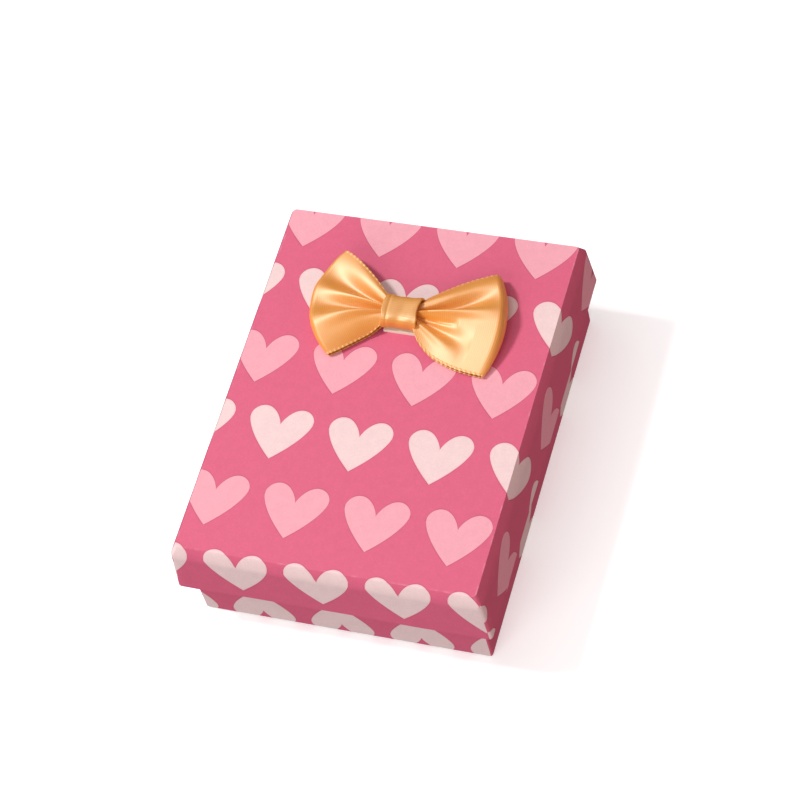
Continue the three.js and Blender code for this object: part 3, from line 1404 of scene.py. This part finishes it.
    def _band(self) -> bpy.types.Object:
        """Wraps the short piece of ribbon, its sides folded under, round the knot.

        Returns:
            The band.
        """
        low = (self.band_low - self.origin) / MM
        high = (self.band_high - self.origin) / MM
        middle_z, half_z = (low.z + high.z) / 2, (high.z - low.z) / 2
        half_x, half_y = (high.x - low.x) / 2, (high.y - low.y) / 2
        flat_half = self.band_width / 2
        across = np.concatenate(
            [
                np.linspace(-flat_half, -half_x - 0.45, 12),
                np.linspace(-half_x - 0.35, -half_x + 0.3, 9),
                np.linspace(-half_x + 0.5, half_x - 0.5, 31),
                np.linspace(half_x - 0.3, half_x + 0.35, 9),
                np.linspace(half_x + 0.45, flat_half, 12),
            ]
        )
        reach, drop = self._band_section(across, half_x)
        share = reach / half_x
        rows = []
        for turn in np.linspace(0, math.tau, 120, endpoint=False):
            dy = math.copysign(abs(math.cos(turn)) ** self.squareness[0], math.cos(turn))
            dz = math.copysign(abs(math.sin(turn)) ** self.squareness[1], math.sin(turn))
            waist = self.waist * np.cos(share * math.pi / 2) ** 2
            from_furrow = share - self.furrow_at + 0.03 * math.sin(turn * 2)
            furrow = self.furrow * np.exp(-((from_furrow / self.furrow_width) ** 2))
            ripple = self.ripple * np.sin(share * 7 + turn * 2)
            lift = drop - self.snug - waist - furrow + ripple
            slow, fast = self.edge_sway
            sway = slow * math.sin(turn * 3 + 0.5) + fast * math.sin(turn * 7)
            rows.append(
                np.stack(
                    [
                        reach + sway * share**4,
                        self.band_shift + (half_y - self.snug + lift) * dy,
                        middle_z + (half_z + lift) * dz,
                    ],
                    -1,
                )
            )
        strip = np.array(rows)
        along = run_along(strip)
        piece = strip_mesh("bow_band_strip", self._placed(strip), across, along)
        thicken(piece, self.ribbon_thickness)
        settle(piece, angle=80.0)
        # Painted shade: the band is the loops' own ribbon, given a darker copy of their satin colours
        # for the shade round the knot.
        light, dark = (0.84, 0.34, 0.025), (0.72, 0.24, 0.012)
        dress(piece, Satin("satin_band_painted_shade", self.band_width, light=light, dark=dark).build())
        return install(piece, "lid", "satin_ribbon", "bow_knot_band")

    def _thread(self) -> bpy.types.Object:
        """Winds the gathering thread a few times round the ribbon, under the band.

        Returns:
            The thread.
        """
        low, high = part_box("bow_thread")
        centre = (low + high) / 2
        half = (high - low) / 2
        radius, winds, steps = self.thread_radius, self.winds, self.wind_steps
        angles = np.linspace(0, winds * math.tau, winds * steps + 1)
        path = np.stack(
            [
                np.linspace(low.x + radius, high.x - radius, len(angles)),
                centre.y + (half.y - radius) * np.cos(angles),
                centre.z + (half.z - radius) * np.sin(angles),
            ],
            -1,
        )
        piece = tube("bow_thread_winding", path, radius)
        settle(piece, angle=60.0)
        dress(piece, Thread().build())
        return install(piece, "lid", "thread", "bow_thread")

    def build(self) -> None:
        """Builds the bow's pieces."""
        self._ribbon()
        self._band()
        self._thread()
        dress(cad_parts["bow_glue_pad"], Glue().build())


# ---------------------------------------------------------------- the pad


@dataclass
class Pad:
    """The sponge pad with its flocked face, and the cuts that hold jewelry."""

    slit: tuple[float, float] = (26 * MM, 1.2 * MM)  # along X, along Y
    notch_offset: float = 12 * MM
    notch: tuple[float, float] = (1.2 * MM, 6 * MM)
    hole_offset: tuple[float, float] = (15 * MM, 14 * MM)
    hole_radius: float = 0.8 * MM
    sponge_cut: float = 10 * MM  # how deep the cuts go
    face_cut: float = 2 * MM
    overshoot: float = 1 * MM  # how far the cutting tools stand out of the face
    sponge_round: float = 0.5 * MM
    face_round: float = 0.15 * MM

    def _block(self, name: str, node: str) -> bpy.types.Object:
        """Adds a block of a node's size, whose cuts and round edges follow.

        Args:
            name: the piece's name.
            node: the frame's node that it stands for.

        Returns:
            The block.
        """
        low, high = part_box(node)
        bpy.ops.object.select_all(action="DESELECT")
        bpy.ops.mesh.primitive_cube_add(size=1, location=(low + high) / 2)
        piece = bpy.context.object
        piece.name = name
        piece.data.name = name
        piece.scale = high - low
        bpy.ops.object.transform_apply(location=True, rotation=True, scale=True)
        return piece

    def _cutters(self, depth: float) -> list[bpy.types.Object]:
        """Makes the tools that cut the slit, the notches and the earring holes.

        Args:
            depth: how deep they cut.

        Returns:
            The tools.
        """
        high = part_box("pad_face")[1]
        tall = depth + self.overshoot
        middle_z = high.z - depth / 2 + self.overshoot / 2
        made = []
        places = [((0, 0), self.slit)]
        for side in (-1, 1):
            for end in (-1, 1):
                middle = end * high.y - end * self.notch[1] / 2
                places.append(((side * self.notch_offset, middle), self.notch))
        for (x, y), (wide, long) in places:
            bpy.ops.mesh.primitive_cube_add(size=1, location=(x, y, middle_z))
            cutter = bpy.context.object
            cutter.scale = (wide, long * 1.001, tall)
            made.append(cutter)
        for side in (-1, 1):
            bpy.ops.mesh.primitive_cylinder_add(
                vertices=24,
                radius=self.hole_radius,
                depth=tall,
                location=(side * self.hole_offset[0], self.hole_offset[1], middle_z),
            )
            made.append(bpy.context.object)
        return made

    def _cut(self, piece: bpy.types.Object, depth: float, edge_round: float) -> None:
        """Cuts a block, softens its edges and settles it.

        Args:
            piece: the block.
            depth: how deep the cuts go.
            edge_round: the radius of its edges.
        """
        cutters = self._cutters(depth)
        for cutter in cutters:
            cut = piece.modifiers.new("cut", "BOOLEAN")
            cut.operation = "DIFFERENCE"
            cut.solver = "EXACT"
            cut.object = cutter
        soften = piece.modifiers.new("soften", "BEVEL")
        soften.width = edge_round
        soften.segments = 3
        soften.limit_method = "ANGLE"
        soften.use_clamp_overlap = True
        apply_modifiers(piece)
        for cutter in cutters:
            bpy.data.objects.remove(cutter)
        settle(piece, angle=35.0)

    def build(self) -> None:
        """Builds the sponge and its face."""
        sponge = self._block("pad_sponge", "foam_pad")
        self._cut(sponge, self.sponge_cut, self.sponge_round)
        dress(sponge, Sponge().build())
        install(sponge, "pad", "sponge", "foam_pad")
        face = self._block("pad_flocked_face", "pad_face")
        self._cut(face, self.face_cut, self.face_round)
        dress(face, Flock().build())
        install(face, "pad", "flock", "pad_face")


# ---------------------------------------------------------------- the studio


@dataclass(frozen=True)
class Softbox:
    """One square light that faces the box."""

    name: str
    place: tuple[float, float, float]  # in metres
    size: float  # the length of its side, in metres
    power: float  # in watts
    gloss: bool  # whether it shows as a highlight
    tint: Color = (1.0, 1.0, 1.0)

    def build(self) -> None:
        """Hangs the light."""
        data = bpy.data.lights.new(self.name, "AREA")
        data.size = self.size
        data.energy = self.power
        data.color = self.tint
        light = bpy.data.objects.new(self.name, data)
        light.location = self.place
        light.visible_glossy = self.gloss
        light.rotation_euler = Vector(self.place).to_track_quat("Z", "Y").to_euler()
        bpy.context.scene.collection.objects.link(light)


@dataclass
class Studio:
    """A white floor, soft lights, and the camera."""

    target: tuple[float, float, float] = (4.7 * MM, -0.8 * MM, 28.25 * MM)
    azimuth: float = 30.6
    elevation: float = 56.24
    roll: float = 17.53
    distance: float = 638 * MM
    lens: float = 132.8
    room_light: float = 0.32
    floor_size: float = 6.0
    floor_gap: float = 0.2 * MM  # below the box
    softboxes: tuple[Softbox, ...] = (
        Softbox("left_softbox", (-0.69, -0.06, 1.0), 0.18, 9.0, True),
        Softbox("top_softbox", (-0.35, 0.1, 1.1), 1.0, 2.4, True),
        Softbox("front_softbox", (-0.2, -1.1, 0.45), 1.0, 8.3, False),
        Softbox("warm_card", (1.0, -0.1, 0.35), 0.8, 2.6, False, (1.0, 0.5, 0.42)),
    )

    def _camera(self) -> None:
        """Sets up the camera, a long lens tilted to one side."""
        across, up = math.radians(self.azimuth), math.radians(self.elevation)
        away = Vector(
            (math.sin(across) * math.cos(up), -math.cos(across) * math.cos(up), math.sin(up))
        )
        data = bpy.data.cameras.new("camera")
        data.lens = self.lens
        data.clip_start = 0.01
        camera = bpy.data.objects.new("camera", data)
        bpy.context.scene.collection.objects.link(camera)
        look = away.to_track_quat("Z", "Y").to_matrix().to_4x4()
        tilt = Matrix.Rotation(math.radians(-self.roll), 4, "Z")
        place = Matrix.Translation(Vector(self.target) + away * self.distance)
        camera.matrix_world = place @ look @ tilt
        bpy.context.scene.camera = camera

    def build(self) -> None:
        """Builds the floor, the world, the lights and the camera."""
        bpy.ops.object.select_all(action="DESELECT")
        bpy.ops.mesh.primitive_plane_add(size=self.floor_size, location=(0, 0, -self.floor_gap))
        floor = bpy.context.object
        floor.name = "studio_floor"
        dress(floor, StudioFloor().build())
        floor.visible_diffuse = False
        floor.visible_glossy = False
        world = bpy.data.worlds.new("studio")
        bpy.context.scene.world = world
        world.use_nodes = True
        background = world.node_tree.nodes["Background"]
        background.inputs["Color"].default_value = (1, 1, 1, 1)
        background.inputs["Strength"].default_value = self.room_light
        world.cycles_visibility.glossy = False
        for softbox in self.softboxes:
            softbox.build()
        self._camera()
        bpy.context.scene.view_settings.view_transform = "Standard"


def main() -> None:
    """Builds the box piece by piece and says what it made."""
    logging.basicConfig(level=logging.INFO, format="%(name)s: %(message)s")
    board = Greyboard().build()
    tape = KraftTape().build()
    lid_paper = TrayPaper("lid_paper", "lid_wrap", Opens.DOWN)
    lid_board = TrayBoard("lid_board_tray", "lid_board", Opens.DOWN)
    Tray("lid", "lid", lid_paper, HeartPaper("lid_heart_paper"), lid_board).build(board, tape)
    base_paper = TrayPaper(
        "base_paper",
        "base_wrap",
        Opens.UP,
        slope_in=0.05 * MM,
        slope_down=0.3 * MM,
        wall_inset=-0.25 * MM,
        corner_round=0.6 * MM,
        flare=0.25 * MM,
        take_up=(0.8 * MM, 1.2 * MM),
    )
    base_print = HeartPaper("base_heart_paper", first_x=-27.8, first_y=34.5, fold_x=32.45, fold_y=43.45)
    Tray("base", "base", base_paper, base_print).build(board, tape)
    Bow().build()
    Pad().build()
    Studio().build()


if __name__ == "__main__":
    main()
